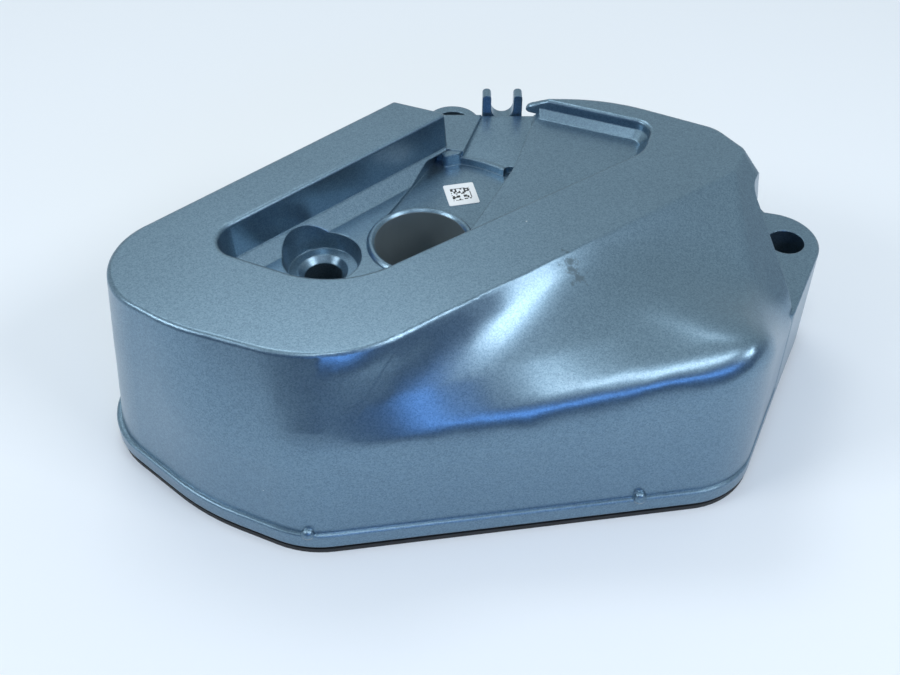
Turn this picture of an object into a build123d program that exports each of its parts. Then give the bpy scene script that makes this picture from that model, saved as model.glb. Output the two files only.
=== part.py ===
"""Cast valve cover with its gasket, plug well seal and label.

Frame: origin on the plug well axis at the machined sealing face, +Z up and away from the engine, mm.
"""
import os
from math import cos, hypot, radians, sin, tan

from build123d import *

os.makedirs("parts", exist_ok=True)

# Heights above the sealing face
top_z = 64.0
crease_z = 36.0
crease_rise = 0.034
lip_height = 5.0
seat_z = 38.0

# Depths of the pocket's floors below the flat top
right_floor_z = top_z - 5.7
bank_z = top_z - 12.3
floor_z = top_z - 16.0
recess_z = top_z - 17.0
channel_z = top_z - 13.0
channel_slope = 0.05

# Walls, steps and drafts
wall = 3.6
lip_step = 0.9
crease_inset = 3.2
right_inset = 0.4
crease_round_down = 0.16
crease_round_up = 0.25
pocket_draft = 4.0
cove = 2.6
cove_slope = 48.0
flange_width = 6.8
top_edge_radius = 1.5
rim_radius = 1.2
small_radius = 0.8
nub_radius = 2.0
nub_spots = [(64.6, -65.0), (-31.4, -77.8)]

# Corners of the foot, from the left tip round the front to the back left, with their radii
foot = [(-109, -27), (-63.6, -66.2), (-32.7, -80.1), (94.4, -61.5), (126, 6), (104, 58), (55, 78), (3.5, 77)]
foot_radius = [26, 80, 30, 24, 10, 25, 50, 12]

# The same corners on the flat top
crown = [(-100.9, -30.1), (-66.3, -53.6), (-20.9, -70), (97, 15), (103, 27), (95, 38.5), (62, 55.5), (-7, 57)]
crown_radius = [22, 60, 42, 8, 6, 12, 60, 3]

# Bolts and plug well
bolt_hole_radius = 5.8
ear_bolt = (117.2, 12.2)
back_bolt = (10.0, 81.5)
pocket_bolt = (-29.9, -7.0)
back_boss_radius = 10.0
counterbore_radius = 12.1
counterbore_z = floor_z - 5.5
counterbore_draft = 0.25
countersink = 1.9
plug_radius = 14.2
plug_wall = 5.3
collar_width = 2.4
collar_rise = 1.3

# Coil recess and cable fork
recess_half_width = 15.5
recess_reach = 45.0
recess_angle = 64.0
step_angle = 24.3
step_gap = 2.9
ridge_width = 1.6
ridge_rise = 0.9
pad_at = (9.6, 42.6)
pad_turn = 20.0
pad_length = 6.4
pad_width = 2.8
notch_at = (29.2, 35.2)
notch_radius = 2.3
fork_x = 27.2
fork_y = 71.0
fork_pitch = 10.7
prong = 3.0
fork_depth = 4.6
prong_top = channel_z + 7.2
saddle_z = channel_z - 2.0

# Gasket and seal
gasket_drop = 3.0
rib_step = 0.5
gasket_margin = 0.4
gasket_width = 5.0
bead_inset = 1.0
bead_height = 2.8
groove_clearance = 0.2
bolt_keepout = 8.6
seal_width = 3.6
seal_bead = 1.8

# Label
label_at = (12.75, 25.5)
label_size = (10.0, 11.0)
label_thickness = 0.2
label_turn = 12.0


def inset(points, distance, right=None):
    """Corners of a polygon whose sides are moved inwards, the right side by its own distance."""
    steps = [distance] * len(points)
    if right is not None:
        steps[4] = right
    moved = []
    for i, (bx, by) in enumerate(points):
        ax, ay = points[i - 1]
        cx, cy = points[(i + 1) % len(points)]
        before = hypot(bx - ax, by - ay)
        after = hypot(cx - bx, cy - by)
        ux, uy = (bx - ax) / before, (by - ay) / before
        vx, vy = (cx - bx) / after, (cy - by) / after
        turn = ux * vy - uy * vx
        along, back = steps[i] / turn, steps[(i + 1) % len(points)] / turn
        moved.append((bx + along * vx - back * ux, by + along * vy - back * uy))
    return moved


def room(points, spot):
    """How far the spot lies inside the polygon."""
    gaps = []
    for i, (bx, by) in enumerate(points):
        ax, ay = points[i - 1]
        gaps.append(((bx - ax) * (spot.Y - ay) - (by - ay) * (spot.X - ax)) / hypot(bx - ax, by - ay))
    return min(gaps)


def between(low, high, t):
    """Corners, or radii, part of the way from one list to the other."""
    if isinstance(low[0], tuple):
        return [(a + t * (c - a), b + t * (d - b)) for (a, b), (c, d) in zip(low, high)]
    return [a + t * (b - a) for a, b in zip(low, high)]


def leaning(z, share):
    """A section plane at the height that leans with the crease by the share."""
    return Plane(origin=(0, 0, z), x_dir=(1, 0, crease_rise * share), z_dir=(-crease_rise * share, 0, 1))


def rounded(plane, points, radii):
    """A face with rounded corners on the plane."""
    with BuildSketch(plane) as face:
        with BuildLine():
            FilletPolyline(*points, radius=radii, close=True)
        make_face()
    return face.sketch


# Outer body: drafted wall, rounded crease and faces that climb to the flat top
wall_foot = inset(foot, lip_step, right_inset)
crease = inset(foot, crease_inset, right_inset)
crease_bottom = between(crease, wall_foot, crease_round_down)
crease_top = between(crease, crown, crease_round_up)
bend = []
for stage in range(5):
    s = stage / 4
    corners = between(between(crease_bottom, crease, s), between(crease, crease_top, s), s)
    height = crease_z * (1 - crease_round_down * (1 - s) ** 2) + crease_round_up * (top_z - crease_z) * s ** 2
    share = 1 - crease_round_down * (1 - s) ** 2 - crease_round_up * s ** 2
    radii = between(foot_radius, crown_radius, crease_round_up * s ** 2)
    bend.append(rounded(leaning(height, share), corners, radii))

# Bolt ear at the right end, and the seat cut down into the climbing faces above it
ear_corners = [(98, -14), (110.6, -26.5), (134.2, 22.6), (102, 31)]
ear_radii = [0, 5, 15, 0]
ledge_corners = [(114.6, -27.0), (103.2, 14.0), (111.6, 32.0), (118, 60), (160, 60), (160, -60)]
ledge_radii = [0, 11, 0, 0, 0, 0]

with BuildPart() as lip:
    extrude(rounded(Plane.XY, foot, foot_radius), amount=lip_height)
    fillet(lip.edges().group_by(Axis.Z)[-1], radius=small_radius)

with BuildPart() as ear:
    extrude(rounded(Plane.XY, ear_corners, ear_radii), amount=seat_z)
    fillet(ear.edges().group_by(Axis.Z)[-1], radius=small_radius)

with BuildPart() as back_boss:
    with Locations((*back_bolt, 0)):
        Cylinder(back_boss_radius, seat_z, align=(Align.CENTER, Align.CENTER, Align.MIN))
    chamfer(back_boss.edges().group_by(Axis.Z)[-1], length=small_radius)

with BuildPart() as cover:
    loft([rounded(Plane.XY, wall_foot, foot_radius), bend[0]], ruled=True)
    loft(bend)
    loft([bend[-1], rounded(Plane.XY.offset(top_z), crown, crown_radius)], ruled=True)
    fillet(cover.faces().sort_by(Axis.Z)[-1].edges(), radius=top_edge_radius)
    add(lip.part)
    with Locations(*[(x, y, lip_height) for x, y in nub_spots]):
        Sphere(nub_radius)
    add(ear.part)
    add(back_boss.part)



def step(gap, along):
    """A point on the step beside the plug well, the gap away from its mouth and so far along the step."""
    across = plug_radius + gap
    turn = radians(step_angle)
    return (across * cos(turn) + along * sin(turn), along * cos(turn) - across * sin(turn))


# The pocket between the two arms: a shallow part on the right, a deep part on the left with a sloping bank
arm_end = (8.4, 47.1)
left_tip = (-64.8, -19.5)
front_tip = (-21.9, -38.9)
right_tip = (70.5, 26.3)
arm_back = [(-30, 110), (-24, 60.3)]
rim_corners = [arm_end, left_tip, front_tip, right_tip, (75, 41), (35, 57), (40, 110)] + arm_back
rim_radii = [1.5, 8.4, 30, 14, 6, 2, 0, 0, 0]
deep_right = [step(step_gap, -8.6), step(step_gap, 34), (38, 53), (46, 110)]
deep_corners = [arm_end, left_tip, front_tip] + deep_right + arm_back
deep_radii = [1.5, 8.4, 30, 3, 40, 0, 0, 0, 0]
bank_right = [(-21.8, -36.3), step(step_gap - 1.5, -7.5), step(step_gap - 1.5, 34.7), (34.0, 45.0)]
bank_corners = [(14.0, 50.6), (-61.0, -17.7)] + bank_right
bank_foot = [(18.0, 48.0), (-56.2, -20.0)] + bank_right
bank_radii = [1, 6, 27, 2, 30, 1]
channel_corners = [(12.0, 38.0), (19.5, 62.6), (24, 82), (41, 82), (36.2, 53), (27.6, 27)]


def pocket(grow):
    """The space of the pocket and of the bolt seats, grown on every side by the amount."""
    with BuildPart() as bank:
        low = rounded(Plane.XY.offset(floor_z - grow), inset(bank_foot, -grow), bank_radii)
        high = rounded(Plane.XY.offset(bank_z - grow + 0.01), inset(bank_corners, -grow), bank_radii)
        loft([low, high], ruled=True)
        with BuildSketch(Plane.XY.offset(floor_z - grow)):
            with Locations((20, 50)):
                Rectangle(80, 56)
            Circle(recess_reach + grow, mode=Mode.SUBTRACT)
        extrude(amount=bank_z - floor_z + 1, mode=Mode.SUBTRACT)
    with BuildPart() as space:
        with BuildSketch(Plane.XY.offset(top_z)):
            add(rounded(Plane.XY, rim_corners, rim_radii))
            offset(amount=grow)
        extrude(amount=right_floor_z - grow - top_z, taper=pocket_draft)
        with BuildSketch(Plane.XY.offset(right_floor_z - grow)):
            add(rounded(Plane.XY, deep_corners, deep_radii))
            offset(amount=grow - (top_z - right_floor_z + grow) * tan(radians(pocket_draft)))
        extrude(amount=bank_z - right_floor_z, taper=pocket_draft)
        add(bank.part)
        with BuildSketch(Plane.XY.offset(recess_z - grow)):
            with Locations(Rot(0, 0, recess_angle)):
                with Locations((recess_reach / 2, 0)):
                    Rectangle(recess_reach + 2 * grow, 2 * recess_half_width + 2 * grow)
            Circle(recess_reach + grow, mode=Mode.INTERSECT)
        extrude(amount=channel_z - recess_z + grow)
        with BuildSketch(Plane((0, fork_y, channel_z - grow), (1, 0, 0), (0, -channel_slope, 1))):
            with BuildLine():
                Polyline(*[(x, y - fork_y) for x, y in channel_corners], close=True)
            make_face()
            offset(amount=grow)
        extrude(amount=bank_z - channel_z + grow + 2)
        seat = Plane.XY.offset(seat_z - grow)
        extrude(rounded(seat, inset(ledge_corners, grow), ledge_radii), amount=top_z)
        with BuildSketch(seat):
            with Locations(back_bolt):
                Circle(back_boss_radius + 0.5 + grow)
        extrude(amount=top_z)
    return space.part


# The hollow under the cover, kept clear of the pocket, the bolt columns and the plug tube
with BuildPart() as hollow:
    foot_inside = [max(r - flange_width + 0.5, 1) for r in foot_radius]
    crease_inside = [max(r - wall, 1) for r in foot_radius]
    top_inside = [max(r - wall, 1) for r in crown_radius]
    under_foot = rounded(Plane.XY.offset(-1), inset(foot, flange_width), foot_inside)
    under_crease = rounded(leaning(crease_z - wall, 1), inset(crease, wall + 0.4), crease_inside)
    under_top = rounded(Plane.XY.offset(top_z - wall), inset(crown, wall), top_inside)
    loft([under_foot, under_crease, under_top], ruled=True)
    add(pocket(wall), mode=Mode.SUBTRACT)
    with BuildSketch(Plane.XY.offset(-1)):
        Circle(plug_radius + plug_wall)
        with Locations(pocket_bolt):
            Circle(counterbore_radius + 2)
        with Locations(ear_bolt, back_bolt):
            Circle(bolt_keepout + gasket_width + 1.2)
    extrude(amount=top_z, mode=Mode.SUBTRACT)

# Line of the gasket: it follows the foot and steps inside the two outer bolts
with BuildSketch() as gasket_edge:
    add(rounded(Plane.XY, inset(foot, gasket_margin), foot_radius))
    with Locations((ear_bolt[0] + 20, ear_bolt[1])):
        SlotCenterToCenter(40, 2 * bolt_keepout, mode=Mode.SUBTRACT)
    with Locations((back_bolt[0], back_bolt[1] + 20)):
        SlotCenterToCenter(40, 2 * bolt_keepout, rotation=90, mode=Mode.SUBTRACT)


def band(start, stop):
    """The strip along the gasket line between two distances from its outer edge."""
    with BuildSketch() as strip:
        add(gasket_edge.sketch)
        offset(amount=-start)
        add(offset(gasket_edge.sketch, amount=-stop, mode=Mode.PRIVATE), mode=Mode.SUBTRACT)
    return strip.sketch


with BuildPart() as collar:
    with Locations((0, 0, recess_z - 1)):
        Cylinder(
            plug_radius + collar_width,
            floor_z + collar_rise - recess_z + 1,
            align=(Align.CENTER, Align.CENTER, Align.MIN),
        )
    chamfer(collar.edges().group_by(Axis.Z)[-1], length=small_radius)

# Sloping foot of the wall round the back of the shallow floor
with BuildPart() as wall_cove:
    with BuildSketch(Plane.XY.offset(right_floor_z - 0.5)):
        with BuildLine():
            Polyline((45, 75), (39, 56), (39, 50), (60, 31), (90, 31), (90, 75), close=True)
        make_face()
    extrude(amount=cove + 0.5)
    with BuildSketch(Plane.XY.offset(right_floor_z + cove)):
        add(rounded(Plane.XY, rim_corners, rim_radii))
        offset(amount=0.2 - (top_z - right_floor_z - cove) * tan(radians(pocket_draft)))
    extrude(amount=-cove, taper=cove_slope, mode=Mode.SUBTRACT)
    with BuildSketch(Plane.XY.offset(right_floor_z - 0.5)):
        add(rounded(Plane.XY, rim_corners, rim_radii))
        offset(amount=1)
    extrude(amount=cove + 0.5, mode=Mode.INTERSECT)

with BuildPart() as casting:
    add(cover.part)
    add(pocket(0), mode=Mode.SUBTRACT)
    rim = [e for e in casting.edges() if abs(e.center().Z - top_z) < 0.01 and room(crown, e @ 0.5) > 3]
    fillet(rim, radius=rim_radius)
    add(wall_cove.part)
    add(collar.part)
    add(hollow.part, mode=Mode.SUBTRACT)

    # Low ridge round the coil recess, with a pad at its left end and a notch at its right end
    with BuildSketch(Plane.XY.offset(recess_z - 1)):
        Circle(recess_reach + ridge_width / 2)
        Circle(recess_reach - ridge_width / 2, mode=Mode.SUBTRACT)
        with Locations(Rot(0, 0, recess_angle)):
            with Locations((recess_reach, 0)):
                Rectangle(recess_reach, 1.4 * recess_half_width, mode=Mode.INTERSECT)
    extrude(amount=channel_z - channel_slope * (fork_y - recess_reach) + ridge_rise - recess_z)
    with BuildSketch(Plane.XY.offset(recess_z - 1)):
        with Locations(Pos(*pad_at) * Rot(0, 0, pad_turn)):
            SlotOverall(pad_length, pad_width)
    extrude(amount=channel_z + ridge_rise - recess_z + 0.5)
    with Locations((*notch_at, recess_z)):
        Cylinder(
            notch_radius, top_z - recess_z, align=(Align.CENTER, Align.CENTER, Align.MIN), mode=Mode.SUBTRACT
        )

    # Fork for the coil cable on the back edge
    slot = fork_pitch - prong
    with BuildSketch(Plane.XZ.offset(-fork_y)) as fork:
        with Locations((fork_x, (prong_top + seat_z) / 2)):
            Rectangle(fork_pitch + prong, prong_top - seat_z)
        with Locations((fork_x, prong_top)):
            SlotCenterToCenter(2 * (prong_top - saddle_z - slot / 2), slot, rotation=90, mode=Mode.SUBTRACT)
        fillet(fork.vertices().group_by(Axis.Y)[-1], radius=prong / 2 - 0.1)
    extrude(amount=fork_depth)

    # Counterbore with its countersunk seat, bolt holes, plug bore
    with Locations((*pocket_bolt, counterbore_z)):
        Cone(
            counterbore_radius - counterbore_draft * (floor_z - counterbore_z),
            counterbore_radius + counterbore_draft * (bank_z - floor_z),
            bank_z - counterbore_z,
            align=(Align.CENTER, Align.CENTER, Align.MIN),
            mode=Mode.SUBTRACT,
        )
    with Locations((*pocket_bolt, counterbore_z - countersink)):
        Cone(
            bolt_hole_radius,
            bolt_hole_radius + countersink,
            countersink,
            align=(Align.CENTER, Align.CENTER, Align.MIN),
            mode=Mode.SUBTRACT,
        )
    with BuildSketch(Plane.XY):
        Circle(plug_radius)
        with Locations(ear_bolt, back_bolt, pocket_bolt):
            Circle(bolt_hole_radius)
    extrude(amount=top_z, mode=Mode.SUBTRACT)

    mouth = casting.edges().filter_by(GeomType.CIRCLE).filter_by(lambda e: abs(e.radius - plug_radius) < 0.01)
    chamfer(mouth.sort_by(Axis.Z)[-1], length=small_radius)

    # Grooves for the gasket and for the plug well seal
    inner = gasket_width - bead_inset
    groove = bead_height + groove_clearance
    extrude(band(bead_inset - groove_clearance, inner + groove_clearance), amount=groove, mode=Mode.SUBTRACT)
    seal_middle = plug_radius + plug_wall / 2
    with BuildSketch(Plane.XY):
        Circle(seal_middle + seal_bead / 2 + groove_clearance)
        Circle(seal_middle - seal_bead / 2 - groove_clearance, mode=Mode.SUBTRACT)
    extrude(amount=groove, mode=Mode.SUBTRACT)

with BuildPart() as gasket:
    with BuildSketch(Plane.XY.offset(-gasket_drop)):
        add(band(0, gasket_width))
    extrude(amount=gasket_drop / 2)
    with BuildSketch(Plane.XY.offset(-gasket_drop / 2)):
        add(band(rib_step, gasket_width))
    extrude(amount=gasket_drop / 2)
    extrude(band(bead_inset, inner), amount=bead_height)

with BuildPart() as seal:
    with BuildSketch(Plane.XY.offset(-gasket_drop)):
        Circle(seal_middle + seal_width / 2)
        Circle(seal_middle - seal_width / 2, mode=Mode.SUBTRACT)
    extrude(amount=gasket_drop)
    with BuildSketch(Plane.XY):
        Circle(seal_middle + seal_bead / 2)
        Circle(seal_middle - seal_bead / 2, mode=Mode.SUBTRACT)
    extrude(amount=bead_height)

with BuildPart() as label:
    with BuildSketch(Plane.XY.offset(recess_z)):
        with Locations(label_at):
            RectangleRounded(*label_size, 0.6, rotation=label_turn)
    extrude(amount=label_thickness)

casting.part.label = "cover_casting"
export_step(casting.part, "parts/cover_casting.step")
gasket.part.label = "perimeter_gasket"
export_step(gasket.part, "parts/perimeter_gasket.step")
seal.part.label = "plug_well_seal"
export_step(seal.part, "parts/plug_well_seal.step")
label.part.label = "code_label"
export_step(label.part, "parts/code_label.step")
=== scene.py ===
from math import cos, hypot, radians

import bmesh
import bpy
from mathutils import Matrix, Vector
from mathutils.kdtree import KDTree


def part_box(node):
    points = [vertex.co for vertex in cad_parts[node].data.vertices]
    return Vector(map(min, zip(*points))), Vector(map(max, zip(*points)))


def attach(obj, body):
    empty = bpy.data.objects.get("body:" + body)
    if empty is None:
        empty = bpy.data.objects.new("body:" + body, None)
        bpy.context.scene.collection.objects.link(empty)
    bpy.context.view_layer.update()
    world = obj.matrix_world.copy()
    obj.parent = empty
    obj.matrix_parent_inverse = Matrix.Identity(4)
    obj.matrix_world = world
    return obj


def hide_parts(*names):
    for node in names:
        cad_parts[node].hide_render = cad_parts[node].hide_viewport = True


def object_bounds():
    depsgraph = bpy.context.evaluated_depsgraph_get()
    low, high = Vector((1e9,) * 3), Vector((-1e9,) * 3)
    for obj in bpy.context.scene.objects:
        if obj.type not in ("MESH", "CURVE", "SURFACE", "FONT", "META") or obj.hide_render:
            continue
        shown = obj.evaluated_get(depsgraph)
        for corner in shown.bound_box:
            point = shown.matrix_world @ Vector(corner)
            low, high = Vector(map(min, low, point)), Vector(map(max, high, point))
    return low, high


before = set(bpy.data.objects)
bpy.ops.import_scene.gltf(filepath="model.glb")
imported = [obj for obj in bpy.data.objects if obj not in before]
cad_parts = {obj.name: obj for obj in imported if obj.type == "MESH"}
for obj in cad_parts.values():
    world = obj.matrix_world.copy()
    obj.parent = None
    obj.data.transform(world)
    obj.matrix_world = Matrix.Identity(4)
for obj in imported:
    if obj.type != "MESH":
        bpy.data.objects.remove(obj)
cad_box = [list(corner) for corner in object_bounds()]


# Cover casting: a die-cast light-metal shell, machined at the joint face and painted in semi-gloss metallic.
# It is a copy of the CAD casting with the shoulder of its front crease raised, made with the CAD normals.
# The gasket seals it to the head, and bolts through the ear, the back boss and the pocket hold it there.
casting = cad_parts["cover_casting"]
merge_gap = 0.000001
shell = bmesh.new()
shell.from_mesh(casting.data)
cad_normal = shell.loops.layers.float_vector.new("facing")
for face in shell.faces:
    first = casting.data.polygons[face.index].loop_start
    for number, loop in enumerate(face.loops):
        loop[cad_normal] = casting.data.corner_normals[first + number].vector
bmesh.ops.remove_doubles(shell, verts=shell.verts, dist=merge_gap)

# The crease along the front climbs to a shoulder at the right corner, and falls again along the right side
shoulder_rise = 0.017
rise_start, rise_end, rise_power = -0.025, 0.092, 2.1
right_corner = Vector((0.0944, -0.0615))
right_way = Vector((0.424, 0.906))
right_full, right_end = 0.004, 0.042
wall_foot, wall_head = 0.005, 0.030
face_foot, face_head = 0.040, 0.064
crease_softness = 0.12
small_step = 0.0001


def share(value, none, full):
    """How far the value has come from none to full, between 0 and 1."""
    return min(max((value - none) / (full - none), 0.0), 1.0)


def rise(spot):
    """How far a point of the casting is lifted for the shoulder."""
    along = share(spot.x, rise_start, rise_end) ** rise_power
    side = share((spot.xy - right_corner).dot(right_way), right_end, right_full)
    side = side * side * (3 - 2 * side)
    past_crease = (spot.z - face_foot) / (face_head - face_foot)
    fall = (past_crease + hypot(past_crease, crease_softness)) / 2
    return shoulder_rise * along * side * share(spot.z, wall_foot, wall_head) * max(1 - fall, 0.0)


def slope(spot):
    """How the lift changes along X, Y and Z at a point of the casting."""
    steps = [Vector([small_step * (i == axis) for i in range(3)]) for axis in range(3)]
    return Vector([(rise(spot + step) - rise(spot - step)) / (2 * small_step) for step in steps])


# Fine enough triangles where the casting is lifted
longest_edge, cut_passes = 0.004, 5
for _ in range(cut_passes):
    long_edges = [
        edge for edge in shell.edges
        if edge.calc_length() > longest_edge and max(rise(vert.co) for vert in edge.verts) > small_step
    ]
    bmesh.ops.subdivide_edges(shell, edges=long_edges, cuts=1)
    bmesh.ops.triangulate(shell, faces=[face for face in shell.faces if len(face.verts) > 3])

# Normals softened over a short reach, so that the facet runs into the crease, then turned with the lift
soft_angle, soft_reach, same_normal = radians(35), 0.0065, 0.999
moved = [vert for vert in shell.verts if rise(vert.co) > 0.0]
places = KDTree(len(moved))
own_normals = []
for number, vert in enumerate(moved):
    places.insert(vert.co, number)
    distinct = []
    for loop in vert.link_loops:
        if all(normal.dot(loop[cad_normal]) < same_normal for normal in distinct):
            distinct.append(loop[cad_normal].normalized())
    own_normals.append(distinct)
places.balance()
for vert in moved:
    near = [
        (normal, 1 - gap / soft_reach)
        for _, number, gap in places.find_range(vert.co, soft_reach)
        for normal in own_normals[number]
    ]
    for loop in vert.link_loops:
        alike = [normal * weight for normal, weight in near if normal.dot(loop[cad_normal]) > cos(soft_angle)]
        loop[cad_normal] = sum(alike, Vector()).normalized()
for vert in moved:
    turn = slope(vert.co)
    for loop in vert.link_loops:
        loop[cad_normal] = (loop[cad_normal] - turn * (loop[cad_normal].z / (1 + turn.z))).normalized()
    vert.co.z += rise(vert.co)

for face in shell.faces:
    face.smooth = True
normals = [loop[cad_normal].copy() for face in shell.faces for loop in face.loops]
cover_mesh = bpy.data.meshes.new("painted_cover")
shell.to_mesh(cover_mesh)
shell.free()
cover_mesh.normals_split_custom_set(normals)
painted_cover = bpy.data.objects.new("painted_cover", cover_mesh)
bpy.context.scene.collection.objects.link(painted_cover)
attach(painted_cover, "root")
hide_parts("cover_casting")


def linear(code):
    """The linear colour of an sRGB hex value, with alpha."""
    parts = [int(code[i:i + 2], 16) / 255 for i in (1, 3, 5)]
    return tuple(p / 12.92 if p <= 0.04045 else ((p + 0.055) / 1.055) ** 2.4 for p in parts) + (1.0,)


def add_node(tree, kind, settings=None, inputs=None):
    """Add a node, set its properties, and set or link its inputs."""
    node = tree.nodes.new(kind)
    for name, value in (settings or {}).items():
        setattr(node, name, value)
    for name, value in (inputs or {}).items():
        if isinstance(value, bpy.types.NodeSocket):
            tree.links.new(value, node.inputs[name])
        else:
            node.inputs[name].default_value = value
    return node


# Metallic paint over cast metal: aluminium flakes under a clear binder, with soft wide highlights,
# a fine sparkle and a slight orange peel. Real flakes are far under a pixel, so they are drawn 0.35 mm wide.
flake_size, peel_size, cloud_size = 0.00035, 0.0014, 0.030
paint = bpy.data.materials.new("metallic_paint_on_casting")
paint.use_nodes = True
tree = paint.node_tree
shader = tree.nodes["Principled BSDF"]
place = add_node(tree, "ShaderNodeTexCoord").outputs["Object"]
flakes = add_node(
    tree, "ShaderNodeTexVoronoi", {"voronoi_dimensions": "3D"}, {"Vector": place, "Scale": 1 / flake_size},
)
flake_level = add_node(
    tree, "ShaderNodeSeparateColor", None, {"Color": flakes.outputs["Color"]},
).outputs["Red"]
peel = add_node(tree, "ShaderNodeTexNoise", None, {"Vector": place, "Scale": 1 / peel_size, "Detail": 2.0})
cloud = add_node(tree, "ShaderNodeTexNoise", None, {"Vector": place, "Scale": 1 / cloud_size, "Detail": 3.0})
dark_flake, light_flake = linear("#657F92"), linear("#7995A8")
flake_colour = add_node(
    tree, "ShaderNodeMix", {"data_type": "RGBA"},
    {"Factor": flake_level, "A": dark_flake, "B": light_flake},
).outputs["Result"]

# Duller patch by the front edge of the flat top, its darker colour painted shade speckle at the highlight's
# edge
speckle_middle, speckle_turn, speckle_size = (0.0430, -0.0262, 0.0590), -60, (0.008, 0.004, 0.006)
speckle_grain_size, speckle_raggedness, speckle_dullness = 0.0022, 2.6, 0.2
speckle_space = add_node(
    tree, "ShaderNodeMapping", {"vector_type": "TEXTURE"},
    {"Vector": place, "Location": speckle_middle, "Rotation": (0, 0, radians(speckle_turn)), "Scale": speckle_size},
)
speckle_reach = add_node(
    tree, "ShaderNodeVectorMath", {"operation": "LENGTH"}, {"Vector": speckle_space.outputs["Vector"]},
)
speckle_grain = add_node(
    tree, "ShaderNodeTexNoise", None,
    {"Vector": place, "Scale": 1 / speckle_grain_size, "Detail": 4.0, "Roughness": 0.65},
)
speckle_ragged = add_node(
    tree, "ShaderNodeMath", {"operation": "MULTIPLY_ADD"},
    {0: speckle_grain.outputs["Fac"], 1: speckle_raggedness, 2: speckle_reach.outputs["Value"]},
)
painted_shade_speckle = add_node(
    tree, "ShaderNodeMapRange", None,
    {"Value": speckle_ragged.outputs["Value"], "From Min": 2.1, "From Max": 1.7, "To Min": 0.0, "To Max": 1.0},
).outputs["Result"]
# The patch is mixed in darker: painted shade speckle at the edge of the facet's highlight
paint_colour = add_node(
    tree, "ShaderNodeMix", {"data_type": "RGBA"},
    {"Factor": painted_shade_speckle, "A": flake_colour, "B": linear("#586C78")},
).outputs["Result"]

# Pale dust caught in the paint, a few specks of about 0.6 mm
dust_spacing, dust_from, dust_largest = 0.009, 0.80, 0.045
dust_cells = add_node(tree, "ShaderNodeTexVoronoi", None, {"Vector": place, "Scale": 1 / dust_spacing})
dust_pick = add_node(
    tree, "ShaderNodeSeparateColor", None, {"Color": dust_cells.outputs["Color"]},
).outputs["Green"]
dust_size = add_node(
    tree, "ShaderNodeMapRange", None,
    {"Value": dust_pick, "From Min": dust_from, "From Max": 1.0, "To Min": 0.0, "To Max": dust_largest},
).outputs["Result"]
dust = add_node(
    tree, "ShaderNodeMath", {"operation": "LESS_THAN"}, {0: dust_cells.outputs["Distance"], 1: dust_size},
).outputs["Value"]
dusty_colour = add_node(
    tree, "ShaderNodeMix", {"data_type": "RGBA"}, {"Factor": dust, "A": paint_colour, "B": linear("#B9C6CE")},
).outputs["Result"]

# Bare metal: what faces down, and the wall of the plug well
down_limit, plug_wall_reach = -0.15, 0.01425
axes = add_node(tree, "ShaderNodeSeparateXYZ", None, {"Vector": place})
surface_normal = add_node(tree, "ShaderNodeNewGeometry").outputs["Normal"]
facing = add_node(tree, "ShaderNodeSeparateXYZ", None, {"Vector": surface_normal})
down = add_node(
    tree, "ShaderNodeMath", {"operation": "LESS_THAN"}, {0: facing.outputs["Z"], 1: down_limit},
).outputs["Value"]
flat_place = add_node(tree, "ShaderNodeCombineXYZ", None, {"X": axes.outputs["X"], "Y": axes.outputs["Y"]})
plug_reach = add_node(
    tree, "ShaderNodeVectorMath", {"operation": "LENGTH"}, {"Vector": flat_place.outputs["Vector"]},
)
plug_wall_mask = add_node(
    tree, "ShaderNodeMath", {"operation": "LESS_THAN"}, {0: plug_reach.outputs["Value"], 1: plug_wall_reach},
).outputs["Value"]
bare = add_node(
    tree, "ShaderNodeMath", {"operation": "MAXIMUM"}, {0: down, 1: plug_wall_mask},
).outputs["Value"]
metal_colour = add_node(
    tree, "ShaderNodeMix", {"data_type": "RGBA"},
    {"Factor": cloud.outputs["Fac"], "A": linear("#7C8C94"), "B": linear("#93A1A8")},
).outputs["Result"]
final_colour = add_node(
    tree, "ShaderNodeMix", {"data_type": "RGBA"}, {"Factor": bare, "A": dusty_colour, "B": metal_colour},
).outputs["Result"]
tree.links.new(final_colour, shader.inputs["Base Color"])
gloss = add_node(
    tree, "ShaderNodeMapRange", None,
    {"Value": cloud.outputs["Fac"], "From Min": 0.3, "From Max": 0.7, "To Min": 0.30, "To Max": 0.35},
).outputs["Result"]
# The same patch is also made rougher
dull = add_node(
    tree, "ShaderNodeMath", {"operation": "MULTIPLY_ADD"}, {0: painted_shade_speckle, 1: speckle_dullness, 2: gloss},
).outputs["Value"]
tree.links.new(dull, shader.inputs["Roughness"])
metal_share = add_node(
    tree, "ShaderNodeMapRange", None,
    {"Value": bare, "From Min": 0.0, "From Max": 1.0, "To Min": 0.88, "To Max": 0.5},
).outputs["Result"]
tree.links.new(metal_share, shader.inputs["Metallic"])
shader.inputs["Coat Weight"].default_value = 0.2
shader.inputs["Coat Roughness"].default_value = 0.15
edge_softness, flake_height, peel_height = 0.0007, 0.00001, 0.00005
soft_edges = add_node(tree, "ShaderNodeBevel", {"samples": 4}, {"Radius": edge_softness})
flake_bump = add_node(
    tree, "ShaderNodeBump", None,
    {
        "Height": flake_level, "Distance": flake_height, "Strength": 0.3,
        "Normal": soft_edges.outputs["Normal"],
    },
)
peel_bump = add_node(
    tree, "ShaderNodeBump", None,
    {
        "Height": peel.outputs["Fac"], "Distance": peel_height, "Strength": 0.25,
        "Normal": flake_bump.outputs["Normal"],
    },
)
tree.links.new(peel_bump.outputs["Normal"], shader.inputs["Normal"])
painted_cover.data.materials.append(paint)


# Perimeter gasket: a moulded rubber ring pressed into the groove of the joint face.
# It stands a little proud below the flange and shows as a dark line.
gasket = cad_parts["perimeter_gasket"]

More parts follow.
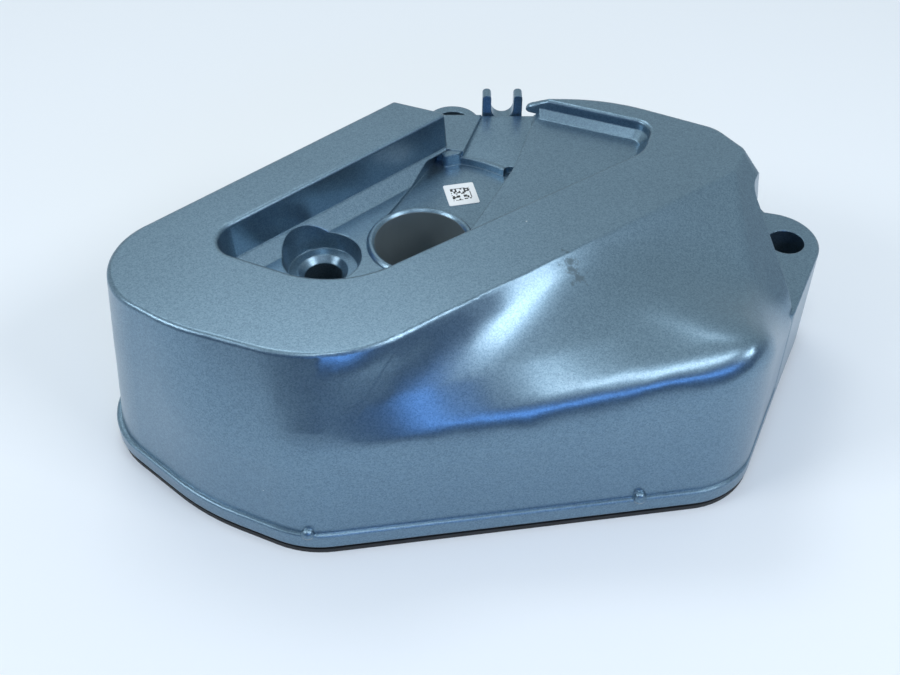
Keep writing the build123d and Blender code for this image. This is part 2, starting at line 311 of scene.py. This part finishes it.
# Moulded rubber, black and matt, with the fine grain of the mould and a little grey bloom
bloom_size, mould_grain_size, mould_grain_height = 0.006, 0.0005, 0.00004
rubber = bpy.data.materials.new("moulded_black_rubber")
rubber.use_nodes = True
tree = rubber.node_tree
shader = tree.nodes["Principled BSDF"]
place = add_node(tree, "ShaderNodeTexCoord").outputs["Object"]
bloom = add_node(tree, "ShaderNodeTexNoise", None, {"Vector": place, "Scale": 1 / bloom_size, "Detail": 3.0})
rubber_colour = add_node(
    tree, "ShaderNodeMix", {"data_type": "RGBA"},
    {"Factor": bloom.outputs["Fac"], "A": linear("#141516"), "B": linear("#2A2C2E")},
).outputs["Result"]
tree.links.new(rubber_colour, shader.inputs["Base Color"])
shader.inputs["Roughness"].default_value = 0.62
mould_grain = add_node(
    tree, "ShaderNodeTexNoise", None, {"Vector": place, "Scale": 1 / mould_grain_size, "Detail": 2.0},
)
mould_bump = add_node(
    tree, "ShaderNodeBump", None,
    {"Height": mould_grain.outputs["Fac"], "Distance": mould_grain_height, "Strength": 0.3},
)
tree.links.new(mould_bump.outputs["Normal"], shader.inputs["Normal"])
gasket.data.materials.clear()
gasket.data.materials.append(rubber)


# Plug well seal: a small rubber ring in the groove at the foot of the plug tube, of the gasket's rubber.
# It keeps oil out of the well and is seen only from below.
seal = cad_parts["plug_well_seal"]
seal.data.materials.clear()
seal.data.materials.append(rubber)


# Code label: a white film sticker on the floor of the coil recess.
# It is printed with a block of dark cells that stands for a part code and spells nothing.
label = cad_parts["code_label"]
label_low, label_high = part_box("code_label")
label_middle = (label_low + label_high) / 2
label_turn = 12
cell = 0.00058
cells_across = 11
pale_share = 0.46

# Printed polyester film: satin white, with sharp matt black cells of 0.58 mm
film = bpy.data.materials.new("printed_white_film")
film.use_nodes = True
tree = film.node_tree
shader = tree.nodes["Principled BSDF"]
place = add_node(tree, "ShaderNodeTexCoord").outputs["Object"]
grid = add_node(
    tree, "ShaderNodeMapping", {"vector_type": "TEXTURE"},
    {
        "Vector": place, "Location": (*label_middle[:2], 0),
        "Rotation": (0, 0, radians(label_turn)), "Scale": (cell, cell, 1.0),
    },
)
flat_grid = add_node(
    tree, "ShaderNodeVectorMath", {"operation": "MULTIPLY"}, {0: grid.outputs["Vector"], 1: (1, 1, 0)},
)
cell_number = add_node(tree, "ShaderNodeVectorMath", {"operation": "FLOOR"}, {0: flat_grid.outputs["Vector"]})
chance = add_node(
    tree, "ShaderNodeTexWhiteNoise", {"noise_dimensions": "3D"}, {"Vector": cell_number.outputs["Vector"]},
)
printed = add_node(
    tree, "ShaderNodeMath", {"operation": "GREATER_THAN"}, {0: chance.outputs["Value"], 1: pale_share},
).outputs["Value"]
reach = add_node(tree, "ShaderNodeVectorMath", {"operation": "ABSOLUTE"}, {0: flat_grid.outputs["Vector"]})
reach_parts = add_node(tree, "ShaderNodeSeparateXYZ", None, {"Vector": reach.outputs["Vector"]})
furthest = add_node(
    tree, "ShaderNodeMath", {"operation": "MAXIMUM"},
    {0: reach_parts.outputs["X"], 1: reach_parts.outputs["Y"]},
).outputs["Value"]
inside = add_node(
    tree, "ShaderNodeMath", {"operation": "LESS_THAN"}, {0: furthest, 1: cells_across / 2},
).outputs["Value"]
ink = add_node(tree, "ShaderNodeMath", {"operation": "MULTIPLY"}, {0: printed, 1: inside}).outputs["Value"]
film_colour = add_node(
    tree, "ShaderNodeMix", {"data_type": "RGBA"},
    {"Factor": ink, "A": linear("#E4EAEE"), "B": linear("#22282C")},
).outputs["Result"]
tree.links.new(film_colour, shader.inputs["Base Color"])
shader.inputs["Roughness"].default_value = 0.45
label.data.materials.clear()
label.data.materials.append(film)


# Studio: a pale table top painted dark towards the front as painted shade, in a room pale behind and dim in
# front.
# Five soft boxes light it. The front one is blue, and shows as the blue band under the crease.
table_width = 6.0
table_dim, table_pale = -0.45, -0.20
bpy.ops.mesh.primitive_plane_add(size=table_width, location=(0, 0, cad_box[0][2]))
floor = bpy.context.object
floor.name = "table_top"
table = bpy.data.materials.new("pale_table")
table.use_nodes = True
tree = table.node_tree
shader = tree.nodes["Principled BSDF"]
place = add_node(tree, "ShaderNodeTexCoord").outputs["Object"]
table_place = add_node(tree, "ShaderNodeSeparateXYZ", None, {"Vector": place})
painted_shade_fade = add_node(
    tree, "ShaderNodeMapRange", {"interpolation_type": "SMOOTHSTEP"},
    {
        "Value": table_place.outputs["Y"],
        "From Min": table_dim, "From Max": table_pale, "To Min": 0.0, "To Max": 1.0,
    },
)
# The table's dark front is painted shade, and its colour turns pale behind it
table_colour = add_node(
    tree, "ShaderNodeMix", {"data_type": "RGBA"},
    {"Factor": painted_shade_fade.outputs["Result"], "A": linear("#2A3A4C"), "B": linear("#E8EEF3")},
)
tree.links.new(table_colour.outputs["Result"], shader.inputs["Base Color"])
shader.inputs["Roughness"].default_value = 0.8
shader.inputs["Specular IOR Level"].default_value = 0.1
floor.data.materials.append(table)

dim_room, pale_room, pale_way = (0.07, 0.12, 0.22, 1), (0.54, 0.59, 0.60, 1), (-0.25, 1.0, 0.7)
world = bpy.data.worlds.new("studio")
world.use_nodes = True
bpy.context.scene.world = world
tree = world.node_tree
sky = tree.nodes["Background"]
direction = add_node(tree, "ShaderNodeTexCoord").outputs["Generated"]
lift = add_node(tree, "ShaderNodeVectorMath", {"operation": "DOT_PRODUCT"}, {0: direction, 1: pale_way})
depth = add_node(
    tree, "ShaderNodeMapRange", {"interpolation_type": "SMOOTHSTEP"},
    {"Value": lift.outputs["Value"], "From Min": -0.5, "From Max": 0.75, "To Min": 0.0, "To Max": 1.0},
)
room = add_node(
    tree, "ShaderNodeMix", {"data_type": "RGBA"},
    {"Factor": depth.outputs["Result"], "A": dim_room, "B": pale_room},
).outputs["Result"]
tree.links.new(room, sky.inputs["Color"])
sky.inputs["Strength"].default_value = 1.0

lamps = [
    ("back_box", (-0.18, 0.55, 1.02), 0.5, 0.3, 2.0, "#FFFFFF"),
    ("top_box", (-0.01, -0.42, 1.02), 0.30, 0.22, 2.0, "#FFFFFF"),
    ("left_box", (-0.85, -0.30, 0.75), 0.40, 0.30, 3.2, "#FFFFFF"),
    ("side_box", (0.63, -0.38, 0.70), 0.40, 0.24, 2.8, "#FFFFFF"),
    ("front_box", (0.20, -0.86, 0.44), 0.50, 0.14, 1.2, "#7FB4FF"),
]
for lamp_name, spot, wide, deep, power, tint in lamps:
    lamp = bpy.data.lights.new(lamp_name, "AREA")
    lamp.shape = "RECTANGLE"
    lamp.size = wide
    lamp.size_y = deep
    lamp.energy = power
    lamp.color = linear(tint)[:3]
    stand = bpy.data.objects.new(lamp_name, lamp)
    stand.location = spot
    stand.rotation_euler = Vector(spot).to_track_quat("Z", "Y").to_euler()
    bpy.context.scene.collection.objects.link(stand)

picture_width, picture_shift = 900, -37.5
camera_data = bpy.data.cameras.new("camera")
camera_data.lens = 48
camera_data.sensor_width = 36
camera_data.shift_y = picture_shift / picture_width
camera = bpy.data.objects.new("camera", camera_data)
camera.location = (0.0091, -0.28514, 0.28513)
camera.rotation_euler = (radians(47.5), 0, 0)
bpy.context.scene.collection.objects.link(camera)
bpy.context.scene.camera = camera
bpy.context.scene.view_settings.view_transform = "Standard"
